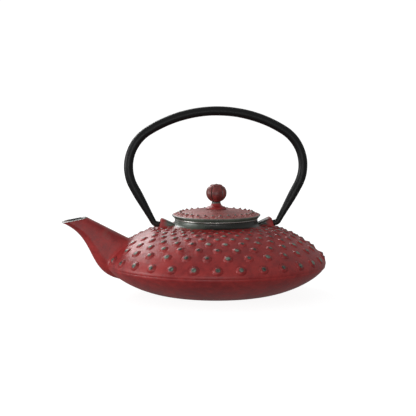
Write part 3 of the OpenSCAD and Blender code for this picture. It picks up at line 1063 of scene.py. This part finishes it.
def knob_finish():
    """Darker, more rubbed paint, dark brown in the grooves and nearly black below."""
    f = Finish("knob_paint", Specular_IOR_Level=0.5)
    mottle = f.noise(3.5, 4, 0.6)
    grain = f.noise(0.9, 3, 0.6)
    groove = f.layer("groove")
    red = f.mix(tone(88, 30, 28), tone(122, 42, 39), f.fade(mottle, 0.4, 0.6))
    side = f.fade(abs(f.x) + (mottle - 0.5) * 4, 4.2, 8.0) * 0.5
    red = f.mix(red, tone(104, 62, 52), side)
    red = f.mix(red, tone(66, 40, 34), f.fade(groove, 0.12, 0.7))
    # Nearly black towards the foot of the ball, just above the seat
    low = f.fade(f.z + (mottle - 0.5) * 2, seat_high.z + 1.6, seat_high.z + 0.2)
    colour = f.mix(red, NEAR_BLACK, low)
    rough = f.ramp(grain, 0.3, 0.7, 0.36, 0.5)
    return f.finish(Base_Color=colour, Roughness=rough, Normal=f.bump(mottle * 0.6 + grain * 0.4, 0.25))


def enamel_finish():
    """Black vitreous enamel, a little glossy."""
    f = Finish("inside_enamel", Coat_Weight=0.4, Coat_Roughness=0.15)
    speck = f.noise(1.6, 3, 0.6)
    colour = f.mix(tone(22, 22, 23), tone(44, 43, 42), f.fade(speck, 0.5, 0.72))
    return f.finish(Base_Color=colour, Roughness=f.ramp(speck, 0.3, 0.7, 0.32, 0.45),
                    Normal=f.bump(f.noise(5, 3, 0.5), 0.25))


def bail_finish():
    """Satin black paint over a steel rod, greyer at the hooks."""
    f = Finish("satin_black", Specular_IOR_Level=0.2)
    cloud = f.noise(20, 3, 0.6)
    grain = f.noise(0.6, 3, 0.6)
    colour = f.mix(tone(10, 10, 11), tone(20, 20, 21), cloud * 0.6 + grain * 0.4)
    hooked = f.fade(f.z + (cloud - 0.5) * 3, PIVOT_H + 5, PIVOT_H - 1)
    colour = f.mix(colour, tone(40, 36, 32), hooked * 0.7)
    return f.finish(Base_Color=colour, Roughness=f.ramp(grain, 0.3, 0.7, 0.36, 0.48),
                    Normal=f.bump(grain * 0.6 + f.noise(3, 3, 0.5) * 0.4, 0.1))


def steel_finish():
    """Pressed stainless steel with fine lines round it."""
    f = Finish("pressed_steel", Metallic=1.0)
    stretched = f.add("Mapping", {}, {"Vector": f.place, "Scale": (1.0, 1.0, 14.0)})
    lines = f.noise(1.2, 3, 0.6, stretched)
    cloud = f.noise(9, 3, 0.5)
    colour = f.mix(tone(168, 167, 163), tone(200, 198, 193), cloud)
    return f.finish(Base_Color=colour, Roughness=f.ramp(lines, 0.3, 0.7, 0.2, 0.36),
                    Normal=f.bump(lines, 0.02))


def woven(f, u, v, pitch):
    """Height and cover of a plain weave: u and v run along the cloth in millimetres."""
    step = math.pi / pitch
    across, along = (u * step).math("SINE"), (v * step).math("SINE")
    warp, weft = abs(across), abs(along)
    over = across * along
    height = (warp * (over * 0.25 + 0.75)).math("MAXIMUM", weft * (0.75 - over * 0.25))
    return height, f.fade(height, 0.5, 0.62)


def mesh_finish(name, flat):
    """Woven stainless wire, open between the wires: a flat floor or an upright round wall."""
    f = Finish(name, Metallic=1.0)
    if flat:
        u, v = f.x, f.y
    else:
        u, v = f.y.math("ARCTAN2", f.x) * round(wall_high.x), f.z
    height, cover = woven(f, u, v, WEAVE_PITCH)
    tint = f.noise(6, 3, 0.5)
    # Lighter on the wires' crowns and darker where they dip under each other: painted light and shade from
    # the weave's relief, over a random tint
    colour = f.mix(tone(140, 139, 134), tone(188, 186, 180), tint * 0.5 + height * 0.5)
    return f.finish(Base_Color=colour, Roughness=f.ramp(tint, 0.3, 0.7, 0.28, 0.4),
                    Alpha=cover, Normal=f.bump(height, 0.15))


def washer_finish():
    """Plain steel with a few brown stains."""
    f = Finish("plain_steel", Metallic=1.0)
    stain = f.noise(2.5, 4, 0.6)
    colour = f.mix(tone(150, 148, 142), tone(106, 98, 88), f.fade(stain, 0.5, 0.7))
    return f.finish(Base_Color=colour, Roughness=f.ramp(stain, 0.3, 0.7, 0.3, 0.5),
                    Normal=f.bump(f.noise(0.5, 2, 0.5), 0.03))


# ---------------------------------------------------------------- assembly

pot_paint = painted_iron("pot_paint", pot_patina, green_and_reflection_near_spout, nailed=True)
lid_paint = painted_iron("lid_paint", lid_patina, green_all_round, nailed=True, pale_speckle_and_sheen=True)
seat_paint = painted_iron("seat_paint", seat_dark_top_and_shaded_foot, green_all_round)
steel = steel_finish()
piece_from("teapot_casting", make_pot(), [pot_paint, enamel_finish()], "pot", "pot_casting")
piece_from("lid", make_lid(), [lid_paint], "lid", "lid_casting")
piece_from("seat_under_knob", make_seat(), [seat_paint], "lid", "knob_seat")
piece_from("bud_knob", make_knob(), [knob_finish()], "lid", "lid_knob")
piece_from("bail_rod", make_bail(), [bail_finish()], "bail", "bail")
piece_from("infuser_rim", make_rim(), [steel], "infuser", "basket_rim")
piece_from("infuser_floor_ring", make_floor_ring(), [steel], "infuser", "basket_floor_ring")
for node, finish in (("basket_wall", mesh_finish("woven_wall", False)),
                     ("basket_floor", mesh_finish("woven_floor", True)),
                     ("knob_washer", washer_finish())):
    carried = frame["nodes"][node].data
    carried.materials.clear()
    carried.materials.append(finish)


# ---------------------------------------------------------------- stage, light and camera

FLOOR_R = 40000
FLOOR_DROP = 0.2
BACKDROP_R = 39000
BACKDROP_H = 30000


def stage_finish(name, strength):
    """A pale surface that glows evenly."""
    f = Finish(name, Specular_IOR_Level=0.1)
    cloud = f.noise(900, 2, 0.5)
    colour = f.mix((0.16, 0.16, 0.16, 1), (0.18, 0.18, 0.18, 1), cloud)
    f.shader.inputs["Emission Color"].default_value = (1, 1, 1, 1)
    f.shader.inputs["Emission Strength"].default_value = strength
    return f.finish(Base_Color=colour, Roughness=f.ramp(cloud, 0.3, 0.7, 0.7, 0.8))


floor_drawing = bmesh.new()
bmesh.ops.create_circle(floor_drawing, cap_ends=True, segments=64, radius=FLOOR_R,
                        matrix=Matrix.Translation((0, 0, -FLOOR_DROP)))
floor = as_object("floor", floor_drawing)
floor.data.materials.append(stage_finish("pale_floor", 0.92))
backdrop_drawing = bmesh.new()
bmesh.ops.create_cone(backdrop_drawing, cap_ends=False, segments=64, radius1=BACKDROP_R,
                      radius2=BACKDROP_R, depth=BACKDROP_H)
backdrop = as_object("backdrop", backdrop_drawing)
backdrop.data.materials.append(stage_finish("pale_backdrop", 1.0))
for staged in (floor, backdrop):
    staged.visible_diffuse = False
    staged.visible_glossy = False
backdrop.visible_shadow = False


def soft_light(name, place, width, height, power):
    """A rectangular lamp, in metres and watts, that faces the teapot."""
    lamp = bpy.data.lights.new(name, "AREA")
    lamp.shape = "RECTANGLE"
    lamp.size = width
    lamp.size_y = height
    lamp.energy = power
    light = bpy.data.objects.new(name, lamp)
    light.location = place
    light.rotation_euler = (Vector((0, 0, 0.04)) - Vector(place)).to_track_quat("-Z", "Y").to_euler()
    bpy.context.scene.collection.objects.link(light)


soft_light("back_left_softbox", (-0.6, 1.5, 1.0), 0.9, 0.7, 17)
soft_light("left_softbox", (-1.6, 0.3, 0.8), 0.8, 0.9, 6)
soft_light("low_left_fill", (-1.9, -0.15, 0.16), 0.9, 0.3, 17)
soft_light("low_front_fill", (-0.5, -1.9, 0.07), 1.4, 0.12, 11)
soft_light("front_fill", (0.5, -1.9, 0.9), 1.2, 1.0, 1)

# The room's glow rises from below to above
GLOW_FROM, GLOW_TO = -0.5, 0.6
GLOW_LOW, GLOW_HIGH = 0.24, 0.52
world = bpy.data.worlds.new("studio")
bpy.context.scene.world = world
world.use_nodes = True
tree = world.node_tree
background = tree.nodes["Background"]
coordinates = tree.nodes.new("ShaderNodeTexCoord")
split = tree.nodes.new("ShaderNodeSeparateXYZ")
tree.links.new(split.inputs[0], coordinates.outputs["Generated"])
sky = tree.nodes.new("ShaderNodeMapRange")
for index, value in enumerate((GLOW_FROM, GLOW_TO, GLOW_LOW, GLOW_HIGH), 1):
    sky.inputs[index].default_value = value
tree.links.new(sky.inputs[0], split.outputs["Z"])
tree.links.new(background.inputs["Strength"], sky.outputs[0])
background.inputs["Color"].default_value = (1, 1, 1, 1)

# The camera stands a little towards the spout's side of the front and looks slightly down
CAMERA_TURN = math.radians(6.5)
CAMERA_DIP = math.radians(6.38)
CAMERA_DISTANCE = 1.3827
CAMERA_LEFT = 0.00677
CAMERA_RAISE = 0.00512
LENS = 145.04
forward = Vector((math.sin(CAMERA_TURN) * math.cos(CAMERA_DIP),
                  math.cos(CAMERA_TURN) * math.cos(CAMERA_DIP), -math.sin(CAMERA_DIP)))
right = Vector((math.cos(CAMERA_TURN), -math.sin(CAMERA_TURN), 0))
up = right.cross(forward)
lens = bpy.data.cameras.new("camera")
lens.sensor_width = 36
lens.lens = LENS
camera = bpy.data.objects.new("camera", lens)
bpy.context.scene.collection.objects.link(camera)
camera.matrix_world = Matrix.Translation(
    Vector((0, 0, LID_RIM_H * MM)) - forward * CAMERA_DISTANCE - right * CAMERA_LEFT + up * CAMERA_RAISE
) @ Matrix((right, up, -forward)).transposed().to_4x4()
bpy.context.scene.camera = camera
bpy.context.scene.view_settings.view_transform = "Standard"
